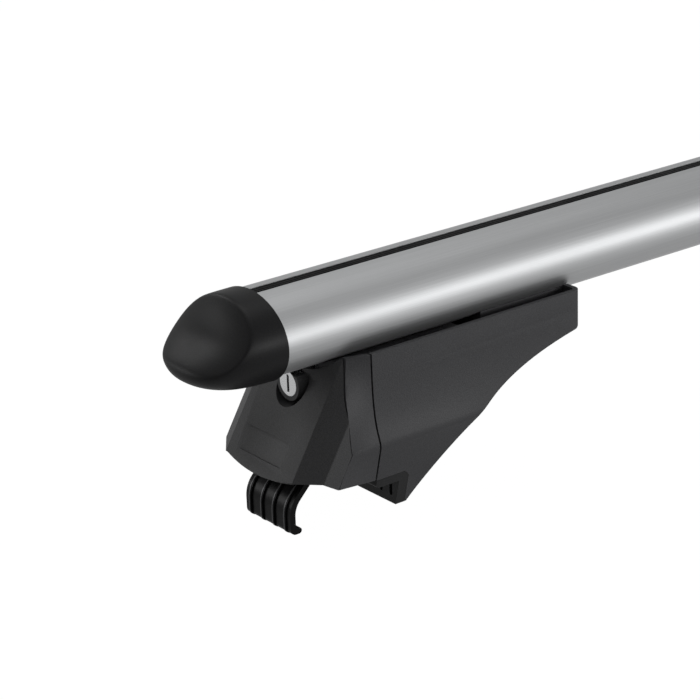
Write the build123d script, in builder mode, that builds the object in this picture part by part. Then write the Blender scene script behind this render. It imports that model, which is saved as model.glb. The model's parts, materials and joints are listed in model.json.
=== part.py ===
# Roof rack crossbar for flush rails: an oval extruded bar with two lockable clamp feet.
# Millimetres, +Z up, X along the bar. The claws' lips stand on Z = 0.
import os
from math import cos, radians, sin, tan

from build123d import *

os.makedirs("parts", exist_ok=True)

# Bar extrusion
bar_length = 1140.0
bar_width = 54.0
bar_height = 40.0
bar_wall = 2.0
axis_height = 94.3
slot_opening = 7.0
slot_inside = 21.0
slot_depth = 11.0
slot_lip = 2.4
channel_opening = 9.0
channel_inside = 19.0
channel_depth = 9.5
channel_lip = 2.4
bevel_high = 13.2
bevel_low = 17.9

# Slot strip
strip_height = 4.2
strip_flange = 2.0
strip_fit = 0.15
strip_recess = 0.5
strip_hook = 2.5
strip_groove = 0.45

# End caps
cap_length = 39.3
cap_lip = 1.3
cap_nose_drop = 6.5
cap_plug_length = 24.0
cap_plug_fit = 0.25
cap_dish_radius = 62.0
cap_dish_depth = 3.2

# Foot outline, as seen from the side: x inward from the bar's end, z from the bar's axis
foot_length = 168.5
foot_half = 37.4
wall_gap = 5.1
wall_top = -11.8
crease_z = -54.4
sill_z = -72.5
keel_z = -90.3
keel_half = 28.3
face_foot_z = -64.4
face_half = 25.4
face_lean = 31.1
chamfer_run = 8.2
seam_x = 41.2
panel_gap = 0.5
fin_gap = 0.9
foot_wall = 2.5
saddle_gap = 0.3
crease_radius = 8.0
wall_floor = -16.0
wall_bulge = 0.5
wall_slope = (0.08, -1)
low_in = 2.0
low_up = 5.4
crease_slope = (0.35, -1)
throat_x = 14.0
throat_top = -13.9
throat_top_half = 17.3
throat_bulge = 10.3
throat_drop = 9.1
throat_slope = (1, -1)
throat_low_out = 0.8
throat_low_z = -37.0
throat_lean = (-0.2, -1)
throat_foot_out = 0.6
throat_foot_z = -68.0

# End cover, as seen from the side: seam with the foot, ridge of the chamfer, lower tips
apex_z = -13.0
seam_bulge_x = 24.9
seam_bulge_z = -33.6
knee_x = 25.0
knee_z = -54.2
tip_x = 16.9
tip_z = -68.5
ridge_x = 8.6
ridge_z = -63.5
cover_edge = 1.0
cover_gap = 0.9
apron_half = 24.0
apron_drop = 3.3
pocket_length = 33.4
pocket_height = 12.1
pocket_depth = 0.9
pocket_ramp = 3.0
pocket_y = 2.4
pocket_up = 9.9
tab_y = 25.75
tab_z = -48.0
tab_thickness = 2.5
tab_height = 4.0
tab_start = 12.0
tab_end = 33.0
tab_room = 2.0

# Foot body inside the covers
cheek_gap = 0.9
cheek_half = 22.5
cheek_floor = -62.0
cheek_roof = -24.0
core_gap = 0.4
core_end = 62.0
arm_half = 20.0
arm_corner = 6.0
cavity_roof = -42.0

# Long cover, from the side
keel_width = 0.9
fin_end_x = 163.6
fin_end_z = -31.2
keel_low_x = 72.2
keel_low_z = -79.2
keel_high_x = 96.1
keel_high_z = -58.5
fin_nose = 5.1
fin_corner = 5.0
fin_bar_gap = 0.3
fin_screw_x = 50.0
fin_screw_y = 18.0
fin_screw_radius = 1.5
fin_screw_length = 10.0
fin_head_radius = 2.9
fin_head_height = 1.3
fin_socket = 2.0

# Rail notch and pad
notch_x = 61.2
notch_roof = -72.9
pad_top = 4.4
pad_side = 5.2
pad_fit = 0.1
notch_corner = 2.7
pad_groove = 2.0
pad_groove_depth = 2.2
pad_groove_pitch = 7.2
pad_groove_count = 8
pad_groove_height = 8.6
pad_groove_start = 0.6
pad_round = 1.5

# Lock
lock_z = -28.6
lock_radius = 6.2
lock_face_x = 18.5
lock_length = 21.0
lock_fit = 0.05
collar_wall = 2.0
recess_radius = 10.4
recess_floor_x = 24.5
recess_wall = 2.0
cam_reach = 11.0
cam_width = 6.0
cam_thickness = 2.5
cam_screw_radius = 1.55
cam_screw_length = 8.0
cam_screw_head = 3.5
cam_screw_head_height = 2.5
cam_hub = 5.2
cam_room_length = 5.5
boss_room_end = 30.0
tube_open = 5.0
key_slot_width = 1.6
key_slot_height = 8.4
key_slot_depth = 5.0

# Claw and its bolt
claw_width = 34.0
claw_thickness = 3.0
claw_x = 5.8
claw_knee_z = -80.5
claw_tongue_z = -65.7
claw_tongue_half = 14.0
claw_tongue_x = 50.0
claw_lip = 3.2
claw_lip_z = -92.8
tongue_start = 24.0
rib_end = 19.0
claw_rib = 0.8
claw_rib_width = 1.8
claw_rib_pitch = 8.9
claw_rib_rise = 0.35
claw_knee_radius = 12.0
claw_root_radius = 5.0
claw_lip_radius = 1.6
gusset_y = 10.5
gusset_thickness = 3.0
gusset_run = 6.0
claw_travel = 15.0
claw_end_gap = 2.0
flange_x = 27.0
flange_thickness = 5.0
flange_half = 13.0
flange_top = -43.5
flange_room = 1.5
bolt_z = -53.0
bolt_radius = 3.95
bolt_length = 50.0
bolt_head_radius = 6.5
bolt_head_height = 8.0
bolt_socket = 6.0
bolt_socket_depth = 4.5
bolt_room = 0.45
bolt_head_round = 1.0
bolt_point = 0.8
thread_fit = 0.05
washer_radius = 8.0
washer_thickness = 1.6
washer_fit = 0.15
nut_flats = 13.0
nut_height = 6.5
nut_fit = 0.15
web_x = 49.5
web_thickness = 4.5

# Foot clamp on the bar
clamp_x = 72.0
clamp_pitch = 16.0
clamp_radius = 3.0
clamp_head_radius = 5.0
clamp_head_height = 6.0
clamp_socket = 5.0
clamp_socket_depth = 3.5
clamp_room = 0.3
arm_end = 96.0
arm_floor = -40.0
plate_width = 18.0
plate_length = 34.0
plate_thickness = 4.0
plate_corner = 3.0

# Small play between parts that slide past each other; walls by which a hollow runs past an open side
slide_fit = 0.35
run_past = 3.0

# Worked out from the sizes above
end_x = -bar_length / 2
half_width = bar_width / 2
half_height = bar_height / 2
wall_top_half = half_width + wall_gap
lean = tan(radians(face_lean))
rise = 1.0 / cos(radians(face_lean))
channel_floor = -half_height + channel_lip
seam_start = (-0.28, -1)
seam_end = (0.14, -1)
keel_start = (0.8, 1)
keel_low = (1, 0.9)
keel_high = (1, 0.75)
keel_finish = (1, 0.2)
claw_slot_end = tongue_start + claw_travel + claw_end_gap
channel_end = claw_tongue_x + claw_travel + claw_end_gap


def side(x, z):
    # A point of the side view, from the foot's own x and z
    return (end_x + x, axis_height + z)


def across(y, z):
    # A point of the cross-section, from y and z about the bar's axis
    return (y, axis_height + z)


def face_x(z):
    # How far in the sloping end face lies at a height
    return (z - face_foot_z) * lean


def slice_at(x):
    # Cross-section plane, x inward from the bar's end
    return Plane.YZ.offset(end_x + x)


def level_at(z):
    # Plan plane at a height about the bar's axis
    return Plane.XY.offset(axis_height + z)


def oval_rod(x_low, x_high, grow_y, grow_z):
    # A stretch of the bar's outer oval, grown all round
    with BuildPart() as rod:
        with BuildSketch(slice_at(x_low)):
            with Locations(across(0, 0)):
                Ellipse(half_width + grow_y, half_height + grow_z)
        extrude(amount=x_high - x_low)
    return rod.part


def block(x_low, x_high, half, z_low, z_high):
    # A box that spans -half to +half across the foot
    with BuildPart() as box:
        with BuildSketch(Plane.XZ):
            with Locations(side((x_low + x_high) / 2, (z_low + z_high) / 2)):
                Rectangle(x_high - x_low, z_high - z_low)
        extrude(amount=half, both=True)
    return box.part


def rod_x(x_low, x_high, radius, z):
    # A round bar along X, centred across the foot
    with BuildPart() as rod:
        with BuildSketch(slice_at(x_low)):
            with Locations(across(0, z)):
                Circle(radius)
        extrude(amount=x_high - x_low)
    return rod.part


def rod_z(x, y, radius, z_low, z_high):
    # A round bar that stands upright
    with BuildPart() as rod:
        with BuildSketch(level_at(z_low)):
            with Locations((end_x + x, y)):
                Circle(radius)
        extrude(amount=z_high - z_low)
    return rod.part


# Bar extrusion: oval skin, slot on top, channel below, two webs
top_block = slot_inside + 2 * bar_wall
low_block = channel_inside + 2 * bar_wall
bevel_top = half_width * (1 - (bevel_high / half_height) ** 2) ** 0.5
bevel_foot = half_width * (1 - (bevel_low / half_height) ** 2) ** 0.5


def chambers(gap):
    # The two hollow halves of the bar's section, drawn in by a gap for the end cap's plug
    with BuildSketch() as halves:
        with Locations(across(0, 0)):
            Ellipse(half_width - bar_wall - gap, half_height - bar_wall - gap)
        with Locations(across(0, half_height - slot_depth / 2)):
            Rectangle(top_block + 2 * gap, slot_depth + 2 * (bar_wall + gap), mode=Mode.SUBTRACT)
        with Locations(across(0, -half_height + channel_depth / 2)):
            Rectangle(low_block + 2 * gap, channel_depth + 2 * (bar_wall + gap), mode=Mode.SUBTRACT)
    return halves.sketch


with BuildPart() as bar_extrusion:
    with BuildSketch(slice_at(0)):
        with Locations(across(0, 0)):
            Ellipse(half_width, half_height)
        add(chambers(0), mode=Mode.SUBTRACT)
        with Locations(across(0, half_height - (slot_lip + slot_depth) / 2)):
            Rectangle(slot_inside, slot_depth - slot_lip, mode=Mode.SUBTRACT)
        with Locations(across(0, half_height)):
            Rectangle(slot_opening, 2 * (slot_lip + bar_wall), mode=Mode.SUBTRACT)
        with Locations(across(0, -half_height + (channel_lip + channel_depth) / 2)):
            Rectangle(channel_inside, channel_depth - channel_lip, mode=Mode.SUBTRACT)
        with Locations(across(0, -half_height)):
            Rectangle(channel_opening, 2 * (channel_lip + bar_wall), mode=Mode.SUBTRACT)
        for turn in (1, -1):
            with BuildLine():
                Polyline(
                    across(turn * bevel_top, -bevel_high),
                    across(turn * bevel_foot, -bevel_low),
                    across(turn * bevel_top, -bevel_low),
                    close=True,
                )
            make_face(mode=Mode.SUBTRACT)
    extrude(amount=bar_length)

# Black strip that fills the top slot, with three fine grooves along it
strip_z = half_height - strip_recess
groove_pitch = (slot_opening - 2 * strip_fit) / 3.5
with BuildPart() as slot_strip:
    with BuildSketch(slice_at(0)):
        with Locations(across(0, strip_z - strip_height / 2)):
            Rectangle(slot_opening - 2 * strip_fit, strip_height)
        with Locations(across(0, half_height - slot_lip - strip_flange / 2 - strip_fit)):
            Rectangle(slot_opening + 2 * strip_hook, strip_flange)
        for turn in (-1, 0, 1):
            with Locations(across(turn * groove_pitch, strip_z)):
                Circle(strip_groove, mode=Mode.SUBTRACT)
    extrude(amount=bar_length)

# End cap: a blunt nose, its sloping end dished, with a plug for each hollow chamber of the bar
cap_half = half_width + cap_lip
cap_high = half_height + cap_lip
nose_above = cap_high + cap_nose_drop
nose_below = cap_high - cap_nose_drop
with BuildPart() as end_cap:
    for reach in (0.0, 0.12, 0.28, 0.45, 0.62, 0.77, 0.89, 0.965, 0.993):
        high = -cap_nose_drop + nose_above * (1 - reach**2) ** 0.8
        low = -cap_nose_drop - nose_below * (1 - reach**1.9) ** 0.5
        wide = cap_half * (1 - reach**3) ** (1 / 3)
        with BuildSketch(slice_at(-reach * cap_length)):
            with Locations(across(0, (high + low) / 2)):
                Ellipse(wide, (high - low) / 2)
    loft()
    dish_spot = Vector(end_x - 0.66 * cap_length, 0, axis_height + 7.5)
    dish_out = Vector(-0.66, 0, 0.75).normalized()
    with Locations(dish_spot + dish_out * (cap_dish_radius - cap_dish_depth)):
        Sphere(cap_dish_radius, mode=Mode.SUBTRACT)
    with BuildSketch(slice_at(0)):
        add(chambers(cap_plug_fit))
    extrude(amount=cap_plug_length)


def flank_section(top, middle, slope, low, lean_in, crease, foot):
    # Cross-section of the foot: side wall out to the crease, then in to the foot, both sides alike
    with BuildSketch() as section:
        with BuildLine():
            Spline(across(*top), across(*middle), tangents=((middle[0] - top[0], middle[1] - top[1]), slope))
            Spline(across(*middle), across(*low), across(*crease), tangents=(slope, lean_in))
            Line(across(*crease), across(*foot))
            Line(across(*foot), across(0, foot[1]))
            Line(across(0, top[1]), across(*top))
            mirror(about=Plane.YZ)
        make_face()
        creases = section.vertices().filter_by_position(
            Axis.Y, axis_height + crease[1] - 0.1, axis_height + crease[1] + 0.1
        )
        fillet(creases, crease_radius)
    return section.sketch


def wall_section(inset, foot_z):
    # The foot's section from the seam inward, drawn in by a wall, cut off at a height
    foot_y = foot_half - (foot_half - keel_half) * (crease_z - foot_z) / (crease_z - keel_z)
    return flank_section(
        (wall_top_half - inset, wall_top),
        (wall_top_half + wall_bulge - inset, (wall_top + crease_z) / 2),
        wall_slope,
        (foot_half - low_in - inset, crease_z + low_up),
        crease_slope,
        (foot_half - inset, crease_z),
        (foot_y - inset, foot_z),
    )


def throat_section(inset):
    # The foot's section hidden under the end cover, where it narrows up to the bar's belly
    return flank_section(
        (throat_top_half - inset, throat_top),
        (throat_top_half + throat_bulge - inset, throat_top - throat_drop),
        throat_slope,
        (foot_half + throat_low_out - inset, throat_low_z),
        throat_lean,
        (foot_half - inset, crease_z),
        (foot_half + throat_foot_out - inset, throat_foot_z),
    )


def strip_form(inset):
    # The band of the foot between the end cover and the long cover
    with BuildPart() as band:
        with BuildSketch(slice_at(throat_x)):
            add(throat_section(inset))
        with BuildSketch(slice_at(seam_x)):
            add(wall_section(inset, sill_z))
        loft(ruled=True)
    return band.part


def cover_form(inset, back):
    # Solid form of the end cover: sloping face, chamfers and upright sides, each drawn in by inset
    face_shift = inset * rise
    top_z = apex_z + inset
    low_z = face_foot_z - run_past * inset
    with BuildPart() as form:
        with BuildSketch(Plane.XZ):
            with BuildLine():
                face = Line(side(face_x(low_z) + face_shift, low_z), side(face_x(top_z) + face_shift, top_z))
                crown = side(face_x(top_z) + face_shift + back, top_z)
                knee = side(knee_x + back, knee_z)
                tip = side(tip_x + back, tip_z - run_past * inset)
                if back > 0:
                    Line(face @ 1, crown)
                Spline(crown, side(seam_bulge_x + back, seam_bulge_z), knee, tangents=(seam_start, seam_end))
                Line(knee, tip)
                Line(tip, side(ridge_x, ridge_z - run_past * inset))
                Line(side(ridge_x, ridge_z - run_past * inset), face @ 0)
            make_face()
        extrude(amount=foot_half - inset, both=True)
        for turn in (1, -1):
            corner = Vector(end_x + face_x(face_foot_z), turn * face_half, axis_height + face_foot_z)
            outward = Vector(-(foot_half - face_half), turn * chamfer_run, lean * (foot_half - face_half))
            outward = outward.normalized()
            split(bisect_by=Plane(origin=corner - outward * inset, z_dir=outward), keep=Keep.BOTTOM)
    return form.part


def seam_cut(back):
    # Everything on the bar-end side of the seam between the end cover and the foot
    low_z = keel_z
    low_x = knee_x + (tip_x - knee_x) * (low_z - knee_z) / (tip_z - knee_z)
    with BuildPart() as region:
        with BuildSketch(Plane.XZ):
            with BuildLine():
                crown = side(face_x(apex_z) + back, apex_z)
                knee = side(knee_x + back, knee_z)
                Spline(crown, side(seam_bulge_x + back, seam_bulge_z), knee, tangents=(seam_start, seam_end))
                Polyline(knee, side(low_x + back, low_z), side(-foot_wall, low_z), side(-foot_wall, 0))
                Polyline(side(-foot_wall, 0), side(face_x(apex_z) + back, 0), crown)
            make_face()
        extrude(amount=foot_half + foot_wall, both=True)
    return region.part


# Foot body: the moulded core that carries the bar, the claw and both covers
cheek_shift = (foot_wall + cheek_gap) * rise
channel_top = claw_tongue_z + claw_thickness / 2 + slide_fit
channel_low = claw_tongue_z - claw_thickness / 2 - slide_fit
core_floor = notch_roof + foot_wall + 2 * pad_fit
nut_x = web_x + web_thickness
cam_x = lock_face_x + lock_length
tube_radius = lock_radius + collar_wall
with BuildPart() as cam_room:
    add(rod_x(cam_x - slide_fit, cam_x + cam_room_length, cam_reach + 2 * slide_fit, lock_z))
    add(block(0, foot_length, foot_half, crease_z, lock_z + tube_radius - recess_wall), mode=Mode.INTERSECT)

with BuildPart() as groove:
    add(strip_form(foot_wall))
    add(block(0, seam_x, foot_half, wall_floor, 0), mode=Mode.INTERSECT)

with BuildPart() as foot_body:
    add(strip_form(0))
    add(seam_cut(panel_gap), mode=Mode.SUBTRACT)
    with BuildSketch(Plane.XZ):
        with BuildLine():
            Polyline(
                side(face_x(cheek_floor) + cheek_shift, cheek_floor),
                side(face_x(cheek_roof) + cheek_shift, cheek_roof),
                side(seam_x, cheek_roof),
                side(seam_x, cheek_floor),
                close=True,
            )
        make_face()
    extrude(amount=cheek_half, both=True)
    with BuildSketch(slice_at(seam_x)):
        add(wall_section(foot_wall + core_gap, core_floor))
    extrude(amount=core_end - seam_x)
    with BuildSketch(level_at(arm_floor)):
        with Locations((end_x + (core_end + arm_end) / 2 - arm_corner, 0)):
            RectangleRounded(arm_end - core_end + 2 * arm_corner, 2 * arm_half, arm_corner)
    extrude(amount=wall_floor - arm_floor)
    # Groove between the bar and the outer wall, and the saddle that the bar rests in
    add(block(seam_x, foot_length, foot_half, wall_floor, 0), mode=Mode.SUBTRACT)
    add(groove.part, mode=Mode.SUBTRACT)
    add(oval_rod(0, foot_length, saddle_gap, saddle_gap), mode=Mode.SUBTRACT)
    # Cavity for the claw's flange and bolt, slot for the claw, channel for its tongue
    add(block(0, web_x, flange_half + flange_room, channel_top, cavity_roof), mode=Mode.SUBTRACT)
    add(block(0, claw_slot_end, claw_width / 2 + slide_fit, sill_z - slide_fit, channel_top), mode=Mode.SUBTRACT)
    add(block(0, channel_end, claw_tongue_half + slide_fit, channel_low, channel_top), mode=Mode.SUBTRACT)
    add(rod_x(web_x, nut_x, bolt_radius + bolt_room, bolt_z), mode=Mode.SUBTRACT)
    with BuildSketch(slice_at(nut_x)):
        with Locations(across(0, bolt_z)):
            RegularPolygon(nut_flats / 2 + nut_fit, 6, major_radius=False)
    extrude(amount=core_end - nut_x, mode=Mode.SUBTRACT)
    # Room for the lock, its cam and the cover's guide tabs
    add(rod_x(0, boss_room_end, recess_radius + recess_wall + slide_fit, lock_z), mode=Mode.SUBTRACT)
    add(rod_x(0, cam_x + cam_room_length, tube_radius + 2 * slide_fit, lock_z), mode=Mode.SUBTRACT)
    add(cam_room.part, mode=Mode.SUBTRACT)
    add(block(0, cam_x, cam_width / 2 + 2 * slide_fit, cavity_roof, lock_z), mode=Mode.SUBTRACT)
    with BuildSketch(slice_at(0)):
        with Locations(across(-tab_y, tab_z), across(tab_y, tab_z)):
            Rectangle(tab_thickness + 2 * slide_fit, tab_height + 2 * slide_fit)
    extrude(amount=tab_end + tab_room, mode=Mode.SUBTRACT)
    # Holes for the clamp screws and the long cover's screws
    with BuildSketch(level_at(arm_floor)):
        with Locations((end_x + clamp_x, 0), (end_x + clamp_x + clamp_pitch, 0)):
            Circle(clamp_radius + clamp_room)
    extrude(amount=wall_floor - arm_floor, mode=Mode.SUBTRACT)
    with BuildSketch(level_at(core_floor)):
        with Locations((end_x + fin_screw_x, -fin_screw_y), (end_x + fin_screw_x, fin_screw_y)):
            Circle(fin_screw_radius + thread_fit)
    extrude(amount=fin_screw_length, mode=Mode.SUBTRACT)

# End cover: a shell that slides on from the bar's end, with the lock's cup in its sloping face
face_tilt = radians(face_lean)
face_plane = Plane(
    origin=(end_x, 0, axis_height + face_foot_z), x_dir=(0, -1, 0), z_dir=(-cos(face_tilt), 0, sin(face_tilt))
)
pocket_plane = Plane(
    origin=face_plane.from_local_coords(Vector(-pocket_y, pocket_up, 0)),
    x_dir=(0, -1, 0),
    z_dir=(-sin(face_tilt), 0, -cos(face_tilt)),
)
with BuildPart() as lock_boss:
    add(cover_form(0, 0))
    add(rod_x(0, recess_floor_x + recess_wall, recess_radius + recess_wall, lock_z), mode=Mode.INTERSECT)

with BuildPart() as lock_tube:
    add(rod_x(lock_face_x, cam_x - 2 * slide_fit, tube_radius, lock_z))
    add(block(0, cam_x, foot_half, lock_z + tube_open, 0), mode=Mode.SUBTRACT)

with BuildPart() as end_cover:
    add(cover_form(0, 0))
    fillet(end_cover.edges().filter_by(Axis((0, 0, 0), (lean, 0, 1))), cover_edge)
    add(cover_form(foot_wall, seam_x), mode=Mode.SUBTRACT)
    # Apron that bows down below the sloping face
    with BuildSketch(face_plane):
        with BuildLine():
            ThreePointArc((-apron_half, 0), (0, -apron_drop), (apron_half, 0))
            Polyline((apron_half, 0), (apron_half, foot_wall), (-apron_half, foot_wall), (-apron_half, 0))
        make_face()
    extrude(amount=-foot_wall)
    # Shallow pocket with ramped ends across the face
    with BuildSketch(pocket_plane):
        with BuildLine():
            Polyline(
                (-pocket_length / 2, 0),
                (pocket_length / 2, 0),
                (pocket_length / 2 - pocket_ramp, -pocket_depth),
                (-pocket_length / 2 + pocket_ramp, -pocket_depth),
                close=True,
            )
        make_face()
    extrude(amount=pocket_height / 2, both=True, mode=Mode.SUBTRACT)
    # Lock cup, tube for the lock, and the saddle that clears the bar and its cap
    add(lock_boss.part)
    add(rod_x(-foot_wall, recess_floor_x, recess_radius, lock_z), mode=Mode.SUBTRACT)
    add(lock_tube.part)
    add(rod_x(lock_face_x, cam_x, lock_radius + lock_fit, lock_z), mode=Mode.SUBTRACT)
    add(oval_rod(-foot_wall, seam_x, cap_lip + cover_gap, cap_lip + cover_gap), mode=Mode.SUBTRACT)
    # Guide tabs that slide into the foot body
    with BuildSketch(slice_at(tab_start)):
        with Locations(across(-tab_y, tab_z), across(tab_y, tab_z)):
            Rectangle(tab_thickness, tab_height)
    extrude(amount=tab_end - tab_start)


def keel_point(x, z, heading, inset):
    # A point of the keel line, moved square to it into the cover
    run, climb = heading
    steep = (run**2 + climb**2) ** 0.5
    return side(x - inset * climb / steep, z + inset * run / steep)


def fin_form(inset):
    # Solid form of the long cover, or its hollow when drawn in by a wall
    front = seam_x + fin_gap - run_past * inset
    back = foot_length - inset
    top = wall_top + run_past * inset
    nose_z = fin_end_z + fin_nose
    corner = notch_corner + inset * (2 - 2**0.5)
    notch_side = notch_x + inset
    notch_high = notch_roof + inset
    with BuildPart() as form:
        with BuildSketch(slice_at(front)):
            add(wall_section(inset, keel_z))
        extrude(amount=foot_length - front)
        with BuildSketch(Plane.XZ):
            with BuildLine():
                keel = Spline(
                    keel_point(notch_x + keel_width, keel_z, keel_start, inset),
                    keel_point(keel_low_x, keel_low_z, keel_low, inset),
                    keel_point(keel_high_x, keel_high_z, keel_high, inset),
                    keel_point(fin_end_x, fin_end_z, keel_finish, inset),
                    tangents=(keel_start, keel_finish),
                )
                Spline(keel @ 1, side(back, nose_z), tangents=(keel_finish, (0, 1)))
                Polyline(side(back, nose_z), side(back, top), side(front, top))
                start = keel @ 0
                Polyline(side(front, top), (end_x + front, start.Y), start)
            make_face()
        extrude(amount=foot_half, both=True, mode=Mode.INTERSECT)
        with BuildSketch(Plane.XZ):
            with BuildLine():
                Polyline(
                    side(front, keel_z),
                    side(notch_side, keel_z),
                    side(notch_side, notch_high - corner),
                    side(notch_side - corner, notch_high),
                    side(front, notch_high),
                    close=True,
                )
            make_face()
        extrude(amount=foot_half, both=True, mode=Mode.SUBTRACT)
        plan_half = wall_top_half + panel_gap - inset
        with BuildSketch(level_at(keel_z)) as plan:
            with BuildLine():
                Polyline(
                    (end_x + front, -foot_half),
                    (end_x + back - 2 * fin_corner, -foot_half),
                    (end_x + back - 2 * fin_corner, -plan_half),
                    (end_x + back, -plan_half),
                    (end_x + back, plan_half),
                    (end_x + back - 2 * fin_corner, plan_half),
                    (end_x + back - 2 * fin_corner, foot_half),
                    (end_x + front, foot_half),
                    close=True,
                )
            make_face()
            fillet(plan.vertices().group_by(Axis.X)[-1], fin_corner - inset)
        extrude(amount=-keel_z, mode=Mode.INTERSECT)
    return form.part


# Long cover: a shell open to the bar and to the foot body, with the rail notch cut in below
with BuildPart() as fin_cover:
    add(fin_form(0))
    add(fin_form(foot_wall), mode=Mode.SUBTRACT)
    add(oval_rod(seam_x, foot_length + foot_wall, fin_bar_gap, fin_bar_gap), mode=Mode.SUBTRACT)
    with BuildSketch(level_at(notch_roof)):
        with Locations((end_x + fin_screw_x, -fin_screw_y), (end_x + fin_screw_x, fin_screw_y)):
            Circle(fin_screw_radius + pad_fit)
    extrude(amount=foot_wall, mode=Mode.SUBTRACT)
    with BuildSketch(level_at(notch_roof)):
        with Locations((end_x + fin_screw_x, -fin_screw_y), (end_x + fin_screw_x, fin_screw_y)):
            Circle(fin_head_radius + pad_fit)
    extrude(amount=fin_head_height + pad_fit, mode=Mode.SUBTRACT)

# Rail pad: rubber angle that lies on the rail and against its flank, with slots to grip
pad_x = notch_x - pad_fit
pad_z = notch_roof - pad_fit
pad_front = seam_x + fin_gap + pad_fit
with BuildPart() as rail_pad:
    with BuildSketch(Plane.XZ) as angle:
        with BuildLine():
            Polyline(
                side(pad_front, pad_z),
                side(pad_x, pad_z),
                side(pad_x, keel_z),
                side(pad_x - pad_side, keel_z),
                side(pad_x - pad_side, pad_z - pad_top),
                side(pad_front, pad_z - pad_top),
                close=True,
            )
        make_face()
        corners = angle.vertices()
        chamfer(corners.group_by(Axis.X)[-1].sort_by(Axis.Y)[-1], notch_corner)
        fillet(corners.group_by(Axis.X)[0].sort_by(Axis.Y)[0], pad_top / 2)
        fillet(corners.group_by(Axis.Y)[0], pad_round)
    extrude(amount=foot_half, both=True)
    with BuildSketch(slice_at(seam_x)):
        add(wall_section(0, keel_z))
    extrude(amount=notch_x - seam_x, mode=Mode.INTERSECT)
    with BuildSketch(slice_at(pad_x - pad_side)):
        with Locations(across(0, pad_z - pad_top - pad_groove_start - pad_groove_height / 2)):
            with GridLocations(pad_groove_pitch, 1, pad_groove_count, 1):
                SlotOverall(pad_groove_height, pad_groove, rotation=90)
    extrude(amount=pad_groove_depth, mode=Mode.SUBTRACT)

# Lock: plug with its key slot, cam on the inner end, screw that holds the cam
with BuildPart() as lock_plug:
    add(rod_x(lock_face_x, cam_x, lock_radius, lock_z))
    with BuildSketch(slice_at(lock_face_x)):
        with Locations(across(0, lock_z)):
            SlotOverall(key_slot_height, key_slot_width, rotation=90)
    extrude(amount=key_slot_depth, mode=Mode.SUBTRACT)
    add(rod_x(cam_x - cam_screw_length, cam_x, cam_screw_radius + thread_fit, lock_z), mode=Mode.SUBTRACT)

with BuildPart() as lock_cam:
    with BuildSketch(slice_at(cam_x)):
        with Locations(across(0, lock_z)):
            Circle(cam_hub)
        with Locations(across(0, lock_z - (cam_reach - cam_width / 2) / 2)):
            Rectangle(cam_width, cam_reach - cam_width / 2)
        with Locations(across(0, lock_z - cam_reach + cam_width / 2)):
            Circle(cam_width / 2)
        with Locations(across(0, lock_z)):
            Circle(cam_screw_radius + thread_fit, mode=Mode.SUBTRACT)
    extrude(amount=cam_thickness)

cam_back = cam_x + cam_thickness
with BuildPart() as lock_screw:
    add(rod_x(cam_x - cam_screw_length + lock_fit, cam_back, cam_screw_radius, lock_z))
    add(rod_x(cam_back, cam_back + cam_screw_head_height, cam_screw_head, lock_z))

# Claw: bent plate with ribs on the outside, a flange for the bolt and two gussets
claw_path = [
    side(claw_x + claw_lip, claw_lip_z),
    side(claw_x, claw_lip_z),
    side(claw_x, claw_knee_z),
    side(claw_x + claw_tongue_z - claw_knee_z, claw_tongue_z),
    side(claw_tongue_x, claw_tongue_z),
]
claw_bends = [claw_lip_radius, claw_knee_radius, claw_root_radius]


def claw_strip(half, shift_x, shift_z):
    # The bent plate's section, shifted outward for the ribs, spread to both sides
    with BuildPart() as bent:
        with BuildSketch(Plane.XZ):
            with BuildLine():
                FilletPolyline([(x + shift_x, z + shift_z) for x, z in claw_path], radius=claw_bends)
                offset(amount=claw_thickness / 2, side=Side.BOTH)
            make_face()
        extrude(amount=half, both=True)
    return bent.part


with BuildPart() as claw_ribs:
    add(claw_strip(claw_width / 2, -claw_rib, claw_rib_rise))
    add(block(0, rib_end, claw_width / 2, keel_z - pad_top, channel_top - slide_fit), mode=Mode.INTERSECT)
    with BuildSketch(slice_at(-claw_rib)):
        with Locations(across(0, claw_knee_z)):
            with GridLocations(claw_rib_pitch, 1, 4, 1):
                Rectangle(claw_rib_width, foot_half)
    extrude(amount=rib_end, mode=Mode.INTERSECT)

with BuildPart() as claw:
    add(claw_strip(claw_width / 2, 0, 0))
    add(claw_ribs.part)
    with BuildSketch(level_at(channel_low - slide_fit)):
        with Locations((end_x + (tongue_start + foot_length) / 2, 0)):
            Rectangle(foot_length - tongue_start, 2 * claw_width)
            Rectangle(foot_length - tongue_start, 2 * claw_tongue_half, mode=Mode.SUBTRACT)
    extrude(amount=claw_width, mode=Mode.SUBTRACT)
    add(block(flange_x, flange_x + flange_thickness, flange_half, claw_tongue_z, flange_top))
    for turn in (-1, 1):
        with BuildSketch(Plane.XZ.offset(-turn * gusset_y)):
            with BuildLine():
                Polyline(
                    side(flange_x, flange_top - gusset_run),
                    side(flange_x - gusset_run, claw_tongue_z),
                    side(flange_x, claw_tongue_z),
                    close=True,
                )
            make_face()
        extrude(amount=gusset_thickness / 2, both=True)
    add(rod_x(0, foot_length, bolt_radius + thread_fit, bolt_z), mode=Mode.SUBTRACT)

# Bolt, washer and nut that draw the claw inward
shank_x = flange_x - washer_thickness
with BuildPart() as claw_bolt:
    add(rod_x(shank_x - bolt_head_height, shank_x, bolt_head_radius, bolt_z))
    fillet(claw_bolt.edges().group_by(Axis.X)[0], bolt_head_round)
    with BuildSketch(slice_at(shank_x - bolt_head_height)):
        with Locations(across(0, bolt_z)):
            RegularPolygon(bolt_socket / 2, 6, major_radius=False)
    extrude(amount=bolt_socket_depth, mode=Mode.SUBTRACT)
    add(rod_x(shank_x, shank_x + bolt_length, bolt_radius, bolt_z))
    chamfer(claw_bolt.edges().group_by(Axis.X)[-1], bolt_point)

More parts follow.
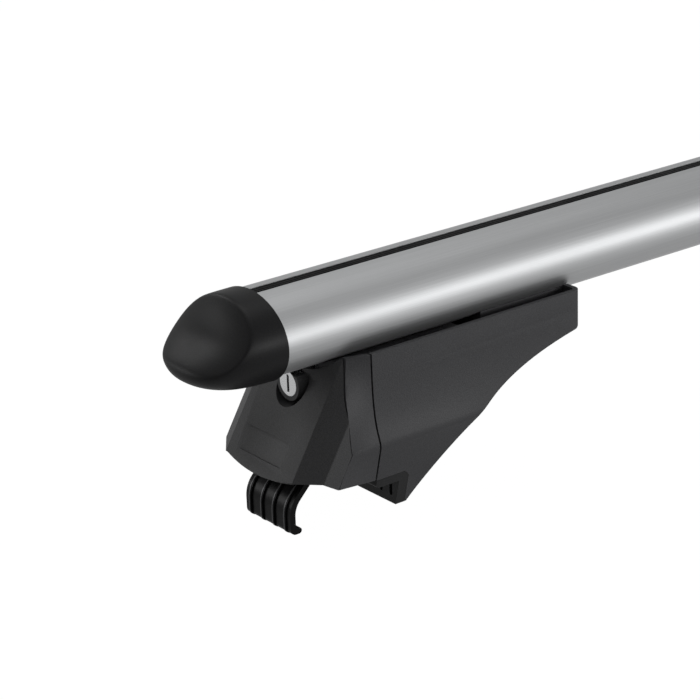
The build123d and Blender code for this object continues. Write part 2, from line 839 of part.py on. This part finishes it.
with BuildPart() as bolt_washer:
    add(rod_x(shank_x, flange_x, washer_radius, bolt_z))
    add(rod_x(shank_x, flange_x, bolt_radius + washer_fit, bolt_z), mode=Mode.SUBTRACT)

with BuildPart() as claw_nut:
    with BuildSketch(slice_at(nut_x)):
        with Locations(across(0, bolt_z)):
            RegularPolygon(nut_flats / 2, 6, major_radius=False)
            Circle(bolt_radius + thread_fit, mode=Mode.SUBTRACT)
    extrude(amount=nut_height)

# Clamp on the bar: plate in the lower channel, two screws up from the foot body's arm
plate_low = channel_floor + pad_fit
with BuildPart() as slot_plate:
    with BuildSketch(level_at(plate_low)):
        with Locations((end_x + clamp_x + clamp_pitch / 2, 0)):
            RectangleRounded(plate_length, plate_width, plate_corner)
            with GridLocations(clamp_pitch, 1, 2, 1):
                Circle(clamp_radius + thread_fit, mode=Mode.SUBTRACT)
    extrude(amount=plate_thickness)


def screw_up(x, y, seat_z, reach, radius, head_radius, head_height, socket, socket_depth):
    # Socket-head screw that points up, its head under the seat
    with BuildPart() as screw:
        add(rod_z(x, y, head_radius, seat_z - head_height, seat_z))
        add(rod_z(x, y, radius, seat_z, reach))
        with BuildSketch(level_at(seat_z - head_height)):
            with Locations((end_x + x, y)):
                RegularPolygon(socket / 2, 6, major_radius=False)
        extrude(amount=socket_depth, mode=Mode.SUBTRACT)
    return screw.part


foot_parts = {
    "foot_body": foot_body.part,
    "fin_cover": fin_cover.part,
    "end_cover": end_cover.part,
    "rail_pad": rail_pad.part,
    "lock_plug": lock_plug.part,
    "lock_cam": lock_cam.part,
    "lock_screw": lock_screw.part,
    "claw": claw.part,
    "claw_bolt": claw_bolt.part,
    "bolt_washer": bolt_washer.part,
    "claw_nut": claw_nut.part,
    "slot_plate": slot_plate.part,
    "end_cap": end_cap.part,
}
for number, x in ((1, clamp_x), (2, clamp_x + clamp_pitch)):
    foot_parts["clamp_screw_" + str(number)] = screw_up(
        x, 0, arm_floor, plate_low + plate_thickness, clamp_radius, clamp_head_radius, clamp_head_height,
        clamp_socket, clamp_socket_depth,
    )
for number, y in ((1, -fin_screw_y), (2, fin_screw_y)):
    foot_parts["fin_screw_" + str(number)] = screw_up(
        fin_screw_x, y, notch_roof + fin_head_height, core_floor + fin_screw_length - pad_fit, fin_screw_radius,
        fin_head_radius, fin_head_height, fin_socket, fin_head_height / 2,
    )

# Write every piece; the right-hand foot is the left-hand one turned round
for name, piece in (("bar_extrusion", bar_extrusion.part), ("slot_strip", slot_strip.part)):
    piece.label = name
    export_step(piece, "parts/" + name + ".step")

for name, piece in foot_parts.items():
    for hand, angle in (("left", 0), ("right", 180)):
        placed = piece.rotate(Axis.Z, angle)
        placed.label = name + "_" + hand
        export_step(placed, "parts/" + placed.label + ".step")
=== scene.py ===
import json
import math

import bmesh
import bpy
from mathutils import Matrix, Vector


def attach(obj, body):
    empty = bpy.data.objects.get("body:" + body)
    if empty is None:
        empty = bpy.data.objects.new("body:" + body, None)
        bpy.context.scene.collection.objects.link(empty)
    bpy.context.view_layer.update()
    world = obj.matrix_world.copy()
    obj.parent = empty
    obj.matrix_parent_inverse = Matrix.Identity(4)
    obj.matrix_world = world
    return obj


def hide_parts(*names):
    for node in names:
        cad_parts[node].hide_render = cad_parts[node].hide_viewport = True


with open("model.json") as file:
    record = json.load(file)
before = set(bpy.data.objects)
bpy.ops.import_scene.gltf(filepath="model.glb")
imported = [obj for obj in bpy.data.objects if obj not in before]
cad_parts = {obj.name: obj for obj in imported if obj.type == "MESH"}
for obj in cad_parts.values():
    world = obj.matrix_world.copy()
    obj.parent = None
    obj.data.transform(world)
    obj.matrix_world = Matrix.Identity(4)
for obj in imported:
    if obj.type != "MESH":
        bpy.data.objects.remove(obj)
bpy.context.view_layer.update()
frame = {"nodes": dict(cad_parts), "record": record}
nodes = frame["nodes"]
mm = 0.001
sides = {"left": 1, "right": -1}  # which way along X the middle lies from each end
barEnd = 570.0  # mm from the middle to the end of the aluminium
barAxis = 94.3  # mm from the claws' lips up to the bar's axis


# Materials

noiseSpan = (0.3, 0.7)  # nearly all of a noise pattern lies between these
plasticSpan = (0.35, 0.68)  # a little narrower, for a livelier grain
steelSpan = (0, 1)
plasticIor = 1.5


def hexColour(code):
    # sRGB hex to the linear values that the shader wants
    channels = [int(code[i:i + 2], 16) / 255 for i in (1, 3, 5)]
    return [c / 12.92 if c <= 0.04045 else ((c + 0.055) / 1.055) ** 2.4 for c in channels] + [1.0]


def addNode(tree, kind, settings=None, inputs=None):
    # One node with its settings; an input is a value or another node's output
    node = tree.nodes.new(kind)
    for name, value in (settings or {}).items():
        setattr(node, name, value)
    for name, value in (inputs or {}).items():
        if isinstance(value, bpy.types.NodeSocket):
            tree.links.new(value, node.inputs[name])
        else:
            node.inputs[name].default_value = value
    return node


def startMaterial(name):
    material = bpy.data.materials.new(name)
    material.use_nodes = True
    tree = material.node_tree
    tree.nodes.clear()
    out = addNode(tree, "ShaderNodeOutputMaterial")
    shader = addNode(tree, "ShaderNodeBsdfPrincipled")
    tree.links.new(shader.outputs["BSDF"], out.inputs["Surface"])
    place = addNode(tree, "ShaderNodeTexCoord").outputs["Object"]
    return material, tree, shader, place


def finishMaterial(tree, shader, look, tintSpan, tintBy, roughBy, bumpBy):
    # Colour, roughness and relief, each led by one pattern
    tint = addNode(tree, "ShaderNodeValToRGB", inputs={"Fac": tintBy})
    for stop, position, code in zip(tint.color_ramp.elements, tintSpan, (look["dark"], look["light"])):
        stop.position = position
        stop.color = hexColour(code)
    rough = addNode(tree, "ShaderNodeMapRange", inputs={
        "Value": roughBy, "From Min": noiseSpan[0], "From Max": noiseSpan[1],
        "To Min": look["rough"][0], "To Max": look["rough"][1]})
    bump = addNode(tree, "ShaderNodeBump", inputs={
        "Height": bumpBy, "Strength": look["bump"], "Distance": look["depthMm"] * mm})
    tree.links.new(tint.outputs["Color"], shader.inputs["Base Color"])
    tree.links.new(rough.outputs["Result"], shader.inputs["Roughness"])
    tree.links.new(bump.outputs["Normal"], shader.inputs["Normal"])


def anodisedAluminium(name, look):
    # Extruded and anodised: fine die lines run along the bar, and a faint grain lies over them
    material, tree, shader, place = startMaterial(name)
    shader.inputs["Metallic"].default_value = 1.0
    drawn = addNode(tree, "ShaderNodeMapping", inputs={"Vector": place, "Scale": (look["stretch"], 1, 1)})
    lines = addNode(tree, "ShaderNodeTexNoise", inputs={
        "Vector": drawn.outputs[0], "Scale": 1 / (look["lineMm"] * mm), "Detail": 3.0, "Roughness": 0.6})
    grain = addNode(tree, "ShaderNodeTexNoise", inputs={
        "Vector": place, "Scale": 1 / (look["grainMm"] * mm), "Detail": 2.0})
    both = addNode(tree, "ShaderNodeMath", {"operation": "ADD"}, {
        0: lines.outputs["Fac"], 1: grain.outputs["Fac"]})
    pattern = lines.outputs["Fac"]
    finishMaterial(tree, shader, look, noiseSpan, pattern, pattern, both.outputs[0])
    return material


def mouldedPlastic(name, look):
    # Injection moulded in a spark-eroded tool: an even fine grain breaks up the gloss
    material, tree, shader, place = startMaterial(name)
    shader.inputs["IOR"].default_value = plasticIor
    shader.inputs["Specular IOR Level"].default_value = look["specular"]
    grain = addNode(tree, "ShaderNodeTexNoise", inputs={
        "Vector": place, "Scale": 1 / (look["grainMm"] * mm), "Detail": 4.0, "Roughness": 0.65})
    pits = addNode(tree, "ShaderNodeTexVoronoi", inputs={
        "Vector": place, "Scale": 1 / (look["pitMm"] * mm)})
    cloud = addNode(tree, "ShaderNodeTexNoise", inputs={
        "Vector": place, "Scale": 1 / (look["cloudMm"] * mm), "Detail": 2.0})
    mixed = addNode(tree, "ShaderNodeMath", {"operation": "MULTIPLY_ADD"}, {
        0: pits.outputs["Distance"], 1: look["pitShare"], 2: grain.outputs["Fac"]})
    finishMaterial(
        tree, shader, look, plasticSpan, grain.outputs["Fac"], cloud.outputs["Fac"], mixed.outputs[0])
    return material


def platedSteel(name, look):
    # Turned and plated: faint scratches all ways and a slightly uneven gloss
    material, tree, shader, place = startMaterial(name)
    shader.inputs["Metallic"].default_value = 1.0
    scratch = addNode(tree, "ShaderNodeTexNoise", inputs={
        "Vector": place, "Scale": 1 / (look["scratchMm"] * mm), "Detail": 5.0, "Distortion": 0.6})
    pattern = scratch.outputs["Fac"]
    finishMaterial(tree, shader, look, steelSpan, pattern, pattern, pattern)
    return material


barAlloy = anodisedAluminium("anodisedAluminium", {
    "dark": "#ACADAE", "light": "#B8B9BA", "lineMm": 0.35, "stretch": 0.004, "grainMm": 0.5,
    "rough": (0.50, 0.58), "bump": 0.10, "depthMm": 0.03})
capPlastic = mouldedPlastic("mouldedAbsBlack", {
    "dark": "#171718", "light": "#202021", "grainMm": 0.6, "pitMm": 0.9, "pitShare": 0.2, "cloudMm": 30,
    "rough": (0.40, 0.48), "bump": 0.4, "depthMm": 0.03, "specular": 0.13})
footPlastic = mouldedPlastic("glassFilledNylonGrey", {
    "dark": "#343436", "light": "#434345", "grainMm": 0.5, "pitMm": 0.8, "pitShare": 0.35, "cloudMm": 40,
    "rough": (0.52, 0.62), "bump": 0.9, "depthMm": 0.08, "specular": 0.3})
coverPlastic = mouldedPlastic("glassFilledNylonCover", {
    "dark": "#353536", "light": "#474748", "grainMm": 0.5, "pitMm": 0.8, "pitShare": 0.35, "cloudMm": 40,
    "rough": (0.50, 0.60), "bump": 0.9, "depthMm": 0.08, "specular": 0.3})
padRubber = mouldedPlastic("epdmRubber", {
    "dark": "#19191A", "light": "#252526", "grainMm": 0.5, "pitMm": 0.8, "pitShare": 0.2, "cloudMm": 20,
    "rough": (0.6, 0.72), "bump": 0.3, "depthMm": 0.05, "specular": 0.25})
stripRubber = mouldedPlastic("extrudedRubberStrip", {
    "dark": "#0B0B0C", "light": "#111112", "grainMm": 0.4, "pitMm": 0.6, "pitShare": 0.1, "cloudMm": 30,
    "rough": (0.5, 0.6), "bump": 0.2, "depthMm": 0.03, "specular": 0.1})
clawCoating = mouldedPlastic("electrocoatedSteel", {
    "dark": "#0C0C0D", "light": "#131314", "grainMm": 1.2, "pitMm": 1.6, "pitShare": 0.1, "cloudMm": 15,
    "rough": (0.26, 0.34), "bump": 0.2, "depthMm": 0.04, "specular": 0.09})
fixingSteel = platedSteel("zincPlatedSteel", {
    "dark": "#9A9B9C", "light": "#BFC0C2", "scratchMm": 0.8,
    "rough": (0.28, 0.42), "bump": 0.3, "depthMm": 0.02})
lockMetal = platedSteel("nickelPlatedLock", {
    "dark": "#C4C5C6", "light": "#E2E3E4", "scratchMm": 0.6,
    "rough": (0.22, 0.34), "bump": 0.2, "depthMm": 0.02})

slotMaterials = {
    "bar_alloy": barAlloy, "strip_rubber": stripRubber, "cap_plastic": capPlastic,
    "foot_plastic": footPlastic, "cover_plastic": coverPlastic, "pad_rubber": padRubber,
    "claw_coating": clawCoating, "fixing_steel": fixingSteel, "lock_metal": lockMetal}
for part in frame["record"]["subparts"]:
    mesh = nodes[part["node"]].data
    mesh.materials.clear()
    mesh.materials.append(slotMaterials[part["material_slot"]])
print("materials set on", len(nodes), "nodes")


# Softened copies of the visible plastic and steel, whose corners catch the light as moulded ones do

bodyOf = {node: body for body, names in frame["record"]["behaviour"]["bodies"].items() for node in names}
slotOf = {part["node"]: part["material_slot"] for part in frame["record"]["subparts"]}
cleanUp = {"weldMm": 0.002, "flatDegrees": 0.6}
softEdges = {
    "foot_body": {"round": 0.7, "steps": 2, "sharp": 28},
    "fin_cover": {"round": 0.9, "steps": 3, "sharp": 32},
    "end_cover": {"round": 0.6, "steps": 3, "sharp": 20},
    "rail_pad": {"round": 0.5, "steps": 2, "sharp": 32},
    "claw": {"round": 0.35, "steps": 2, "sharp": 32},
    "lock_plug": {"round": 0.3, "steps": 2, "sharp": 32},
}


def mergedCopy(node):
    # A CAD node's mesh with its seams welded and its flat faces joined
    shape = bmesh.new()
    shape.from_mesh(nodes[node].data)
    bmesh.ops.remove_doubles(shape, verts=shape.verts, dist=cleanUp["weldMm"] * mm)
    flat = math.radians(cleanUp["flatDegrees"])
    bmesh.ops.dissolve_limit(shape, angle_limit=flat, verts=shape.verts, edges=shape.edges)
    return shape


def makeObject(shape, name, material, look):
    # Smooth shading, with the sharp edges rounded where the look has a radius
    mesh = bpy.data.meshes.new(name)
    shape.to_mesh(mesh)
    shape.free()
    mesh.polygons.foreach_set("use_smooth", [True] * len(mesh.polygons))
    mesh.set_sharp_from_angle(angle=math.radians(look["sharp"]))
    mesh.materials.append(material)
    piece = bpy.data.objects.new(name, mesh)
    bpy.context.scene.collection.objects.link(piece)
    if look["round"]:
        edge = piece.modifiers.new("roundedEdges", "BEVEL")
        edge.width = look["round"] * mm
        edge.segments = look["steps"]
        edge.limit_method = "ANGLE"
        edge.angle_limit = math.radians(look["sharp"])
        edge.harden_normals = True
    return piece


def placePiece(shape, name, node, look):
    # A piece that stands for a CAD node and moves with its body
    piece = makeObject(shape, name, slotMaterials[slotOf[node]], look)
    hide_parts(node)
    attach(piece, bodyOf[node])


def addPiece(shape, name, body, material, look):
    # A further piece that stands for no CAD node
    piece = makeObject(shape, name, material, look)
    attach(piece, body)


for end in sides:
    for part, look in softEdges.items():
        node = part + "_" + end
        placePiece(mergedCopy(node), part.replace("_", "") + end.capitalize(), node, look)
print("edges softened")


# End caps: a blunt oval cut off on the slant from brow to chin, with a soft rim and a scooped face

endCap = {
    "rings": 90, "around": 160, "length": 39.7, "half": 28.3, "high": 21.3, "blunt": 3.6,
    "brow": (13.5, 21.3), "chin": (39.4, -6.0),  # ends of the slant, out from the seam and up from the axis
    "bow": 66.0,  # radius of the face from side to side
    "rim": 0.45, "chinRim": 1.5, "rimGrowth": 3,  # the rim is crisp at the brow and softer near the chin
    "dish": 3.4, "dishHalf": (20.0, 12.0),  # depth of the scoop, and its reach across and down
    "jawDrop": 7.2, "jawRun": 36.0, "jawRim": 1.4,  # slope of the underside, up towards the chin
    "seam": 0.01, "onPlane": 1e-6, "pole": 1e-9,
    "sharp": 40, "round": 0}
steepest = 40.0  # widths past the surface at which the blend stops growing


def softLimit(depth, width):
    # How far to move a point back so that it stays behind a surface, blended over a width
    return width * math.log1p(math.exp(min(depth / width, steepest)))


def cutAway(shape, point, outward, onPlane):
    # Cut off all that lies past a plane and close the cut
    cut = bmesh.ops.bisect_plane(
        shape, geom=shape.verts[:] + shape.edges[:] + shape.faces[:], plane_co=point, plane_no=outward,
        clear_outer=True, dist=onPlane)
    rim = [e for e in cut["geom_cut"] if isinstance(e, bmesh.types.BMEdge)]
    bmesh.ops.holes_fill(shape, edges=rim)


def addEndCap(end, way):
    look = endCap
    shape = bmesh.new()
    bmesh.ops.create_uvsphere(shape, u_segments=look["around"], v_segments=look["rings"] * 2, radius=1.0)
    bmesh.ops.rotate(shape, verts=shape.verts, matrix=Matrix.Rotation(math.radians(90), 3, "Y"))
    cutAway(shape, (0, 0, 0), (1, 0, 0), look["onPlane"])
    power = 2 / look["blunt"]
    brow = Vector((look["brow"][0], 0, look["brow"][1]))
    run = look["chin"][0] - look["brow"][0]
    fall = look["brow"][1] - look["chin"][1]
    size = math.hypot(run, fall)
    outward = Vector((fall / size, 0, run / size))
    jawSize = math.hypot(look["jawDrop"], look["jawRun"])
    downward = Vector((look["jawDrop"] / jawSize, 0, -look["jawRun"] / jawSize))
    for vert in shape.verts:
        # The round dome grows into the blunt oval
        reach = max(-vert.co.x, 0.0)
        spread = math.hypot(vert.co.y, vert.co.z)
        grown = spread ** power / spread if spread > look["pole"] else 0.0
        ahead = look["length"] * reach ** power
        place = Vector((ahead, look["half"] * vert.co.y * grown, look["high"] * vert.co.z * grown))
        # The slanted face and the jaw then hold it back, except at the seam
        fromBrow = place - brow
        along = fromBrow.x * run / size - fromBrow.z * fall / size
        hollow = look["dish"] * math.exp(
            -(place.y / look["dishHalf"][0]) ** 2 - ((along - size / 2) / look["dishHalf"][1]) ** 2)
        share = min(max(along / size, 0.0), 1.0) ** look["rimGrowth"]
        softness = look["rim"] + (look["chinRim"] - look["rim"]) * share
        if place.x > look["seam"]:
            place -= outward * softLimit(
                fromBrow.dot(outward) + place.y ** 2 / (2 * look["bow"]) + hollow, softness)
            place -= downward * softLimit(
                (place + Vector((0, 0, look["high"]))).dot(downward), look["jawRim"])
        place.x = max(place.x, 0.0)
        vert.co = Vector((-way * (barEnd + place.x), place.y, barAxis + place.z)) * mm
    bmesh.ops.recalc_face_normals(shape, faces=shape.faces)
    placePiece(shape, "endCap" + end.capitalize(), "end_cap_" + end, look)


for end, way in sides.items():
    addEndCap(end, way)
print("end caps shaped")


# Claw ribs: narrow slices of the claw's outer face, standing a little proud and coloured paler as a painted
# highlight along each rib

clawRibs = {
    "pitch": 8.9, "count": 4, "half": 0.42,
    "deepest": 12.0,  # how far in from the bar's end the slices reach
    "proud": 0.22, "outPerUp": 3,  # pushed out, and a third as far up
    "onPlane": 1e-7, "sharp": 40, "round": 0.12, "steps": 2}
# Paler than the claw's own coating: a painted highlight standing in for the light the ribs' tops catch
ribHighlightCoating = mouldedPlastic("rubbedElectrocoat", {
    "dark": "#343436", "light": "#48484A", "grainMm": 1.2, "pitMm": 1.6, "pitShare": 0.1, "cloudMm": 15,
    "rough": (0.32, 0.42), "bump": 0.2, "depthMm": 0.04, "specular": 0.4})


def keepBetween(shape, axis, low, high, onPlane):
    # Keep what lies between two planes across an axis
    for level, way in ((low, -1), (high, 1)):
        cutAway(shape, axis * level, axis * way, onPlane)


def addClawRib(end, way, number):
    look = clawRibs
    shape = mergedCopy("claw_" + end)
    middle = (number - (look["count"] - 1) / 2) * look["pitch"] * mm
    half = look["half"] * mm
    keepBetween(shape, Vector((0, 1, 0)), middle - half, middle + half, look["onPlane"])
    reach = sorted((-way * (barEnd - look["deepest"]) * mm, -way * barEnd * mm))
    keepBetween(shape, Vector((1, 0, 0)), reach[0], reach[1], look["onPlane"])
    proud = look["proud"] * mm
    bmesh.ops.translate(shape, verts=shape.verts, vec=(-way * proud, 0, proud / look["outPerUp"]))
    name = "clawRib" + end.capitalize() + str(number + 1)
    addPiece(shape, name, "claw_" + end, ribHighlightCoating, look)


for end, way in sides.items():
    for number in range(clawRibs["count"]):
        addClawRib(end, way, number)
print("claw ribs shaped")


# Saddles inside the end of each fin, close under the bar, so that no light shows through the gap

finSaddle = {
    "endX": 167.2, "thick": 52.6, "half": 21.5, "low": -24.0,  # X counts in from the bar's end
    "barHalf": 27.35, "barHigh": 20.35, "points": 32,  # the oval just outside the bar that the top follows
    "sharp": 30, "round": 0.15, "steps": 2}


def addFinSaddle(end, way):
    look = finSaddle
    shape = bmesh.new()
    for x in (look["endX"] - look["thick"], look["endX"]):
        line = [(-look["half"], look["low"])]
        for i in range(look["points"] + 1):
            y = look["half"] * (2 * i / look["points"] - 1)
            line.append((y, -look["barHigh"] * math.sqrt(1 - (y / look["barHalf"]) ** 2)))
        line.append((look["half"], look["low"]))
        ring = [shape.verts.new(Vector((way * (x - barEnd), y, barAxis + z)) * mm) for y, z in line]
        shape.faces.new(ring)
    bmesh.ops.bridge_loops(shape, edges=shape.edges[:])
    bmesh.ops.recalc_face_normals(shape, faces=shape.faces)
    addPiece(shape, "finSaddle" + end.capitalize(), "foot_" + end, footPlastic, look)


for end, way in sides.items():
    addFinSaddle(end, way)
print("fin saddles placed")


# Floor and light

def brighterOf(tree, values):
    # The largest of several values: an output first, then outputs or numbers
    best = values[0]
    for other in values[1:]:
        best = addNode(tree, "ShaderNodeMath", {"operation": "MAXIMUM"}, {0: best, 1: other}).outputs[0]
    return best


def shareOf(tree, socket, amount):
    return addNode(tree, "ShaderNodeMath", {"operation": "MULTIPLY"}, {0: socket, 1: amount}).outputs[0]


def addStage(look):
    # Pale floor that the camera sees as white, with a trace of the object's own soft shadow
    mesh = bpy.data.meshes.new("floorMesh")
    shape = bmesh.new()
    bmesh.ops.create_grid(shape, x_segments=1, y_segments=1, size=look["size"])
    shape.to_mesh(mesh)
    shape.free()
    floor = bpy.data.objects.new("floor", mesh)
    bpy.context.scene.collection.objects.link(floor)
    material = bpy.data.materials.new("paleFloor")
    material.use_nodes = True
    tree = material.node_tree
    tree.nodes.clear()
    out = addNode(tree, "ShaderNodeOutputMaterial")
    seen = addNode(tree, "ShaderNodeLightPath")
    plain = addNode(tree, "ShaderNodeBsdfDiffuse", inputs={"Color": hexColour(look["colour"])})
    glow = addNode(tree, "ShaderNodeEmission", inputs={"Color": (1, 1, 1, 1), "Strength": look["level"]})
    share = brighterOf(tree, [
        shareOf(tree, seen.outputs["Is Camera Ray"], look["glow"]),
        shareOf(tree, seen.outputs["Is Glossy Ray"], look["mirrored"]),
        shareOf(tree, seen.outputs["Is Transmission Ray"], look["mirrored"])])
    mixed = addNode(tree, "ShaderNodeMixShader", inputs={0: share, 1: plain.outputs[0], 2: glow.outputs[0]})
    tree.links.new(mixed.outputs[0], out.inputs["Surface"])
    mesh.materials.append(material)


def addWorld(look):
    # White to the camera, paler grey in the metal, and a low even fill on the object
    world = bpy.data.worlds.new("studio")
    bpy.context.scene.world = world
    world.use_nodes = True
    tree = world.node_tree
    tree.nodes.clear()
    out = addNode(tree, "ShaderNodeOutputWorld")
    seen = addNode(tree, "ShaderNodeLightPath")
    strength = brighterOf(tree, [
        seen.outputs["Is Camera Ray"],
        shareOf(tree, seen.outputs["Is Glossy Ray"], look["mirrored"]),
        shareOf(tree, seen.outputs["Is Transmission Ray"], look["mirrored"]),
        look["fill"]])
    sky = addNode(tree, "ShaderNodeBackground", inputs={"Color": (1, 1, 1, 1), "Strength": strength})
    tree.links.new(sky.outputs[0], out.inputs["Surface"])


footSpot = (-0.5, 0, 0.06)  # all lamps face the foot at the near end


def addLamp(name, look):
    data = bpy.data.lights.new(name, "AREA")
    data.shape = "RECTANGLE"
    data.size, data.size_y = look["size"]
    data.energy = look["watts"]
    lamp = bpy.data.objects.new(name, data)
    bpy.context.scene.collection.objects.link(lamp)
    lamp.location = look["at"]
    aim = Vector(footSpot) - Vector(look["at"])
    lamp.rotation_euler = aim.to_track_quat("-Z", "Y").to_euler()


addStage({"size": 6.0, "colour": "#A8A8A8", "glow": 0.95, "level": 1.05, "mirrored": 0.50})
addWorld({"fill": 0.18, "mirrored": 0.48})
addLamp("rightLamp", {"size": (1.7, 0.28), "watts": 15, "at": (0.5, -1.35, 0.4)})
addLamp("leftLamp", {"size": (0.8, 0.6), "watts": 5, "at": (-1.75, 1.45, 0.4)})
addLamp("backLamp", {"size": (0.6, 0.4), "watts": 5, "at": (-0.85, 1.6, 1.2)})
addLamp("topLamp", {"size": (1.6, 0.7), "watts": 8, "at": (-0.3, 0.5, 1.9)})
print("stage and lamps placed")


# Camera: fitted to the photograph's lines of the bar and foot

def addCamera(view):
    turn, tilt, roll = (math.radians(a) for a in (view["azimuth"], view["elevation"], view["roll"]))
    right = Vector((math.cos(turn), math.sin(turn), 0))
    back = Vector((math.sin(turn) * math.cos(tilt), -math.cos(turn) * math.cos(tilt), math.sin(tilt)))
    up = back.cross(right)
    rolledRight = right * math.cos(roll) + up * math.sin(roll)
    rolledUp = up * math.cos(roll) - right * math.sin(roll)
    data = bpy.data.cameras.new("photoCamera")
    data.sensor_width = view["sensor"]
    data.lens = view["lens"]
    data.clip_end = view["farthest"]
    camera = bpy.data.objects.new("photoCamera", data)
    bpy.context.scene.collection.objects.link(camera)
    facing = Matrix((rolledRight, rolledUp, back)).transposed().to_4x4()
    camera.matrix_world = Matrix.Translation(view["at"]) @ facing
    bpy.context.scene.camera = camera


addCamera({
    "azimuth": -37.094, "elevation": 21.043, "roll": -2.085, "lens": 127.54, "sensor": 36, "farthest": 50,
    "at": (-1.1545, -0.8449, 0.4799)})
bpy.context.scene.view_settings.view_transform = "Standard"
print("camera placed")
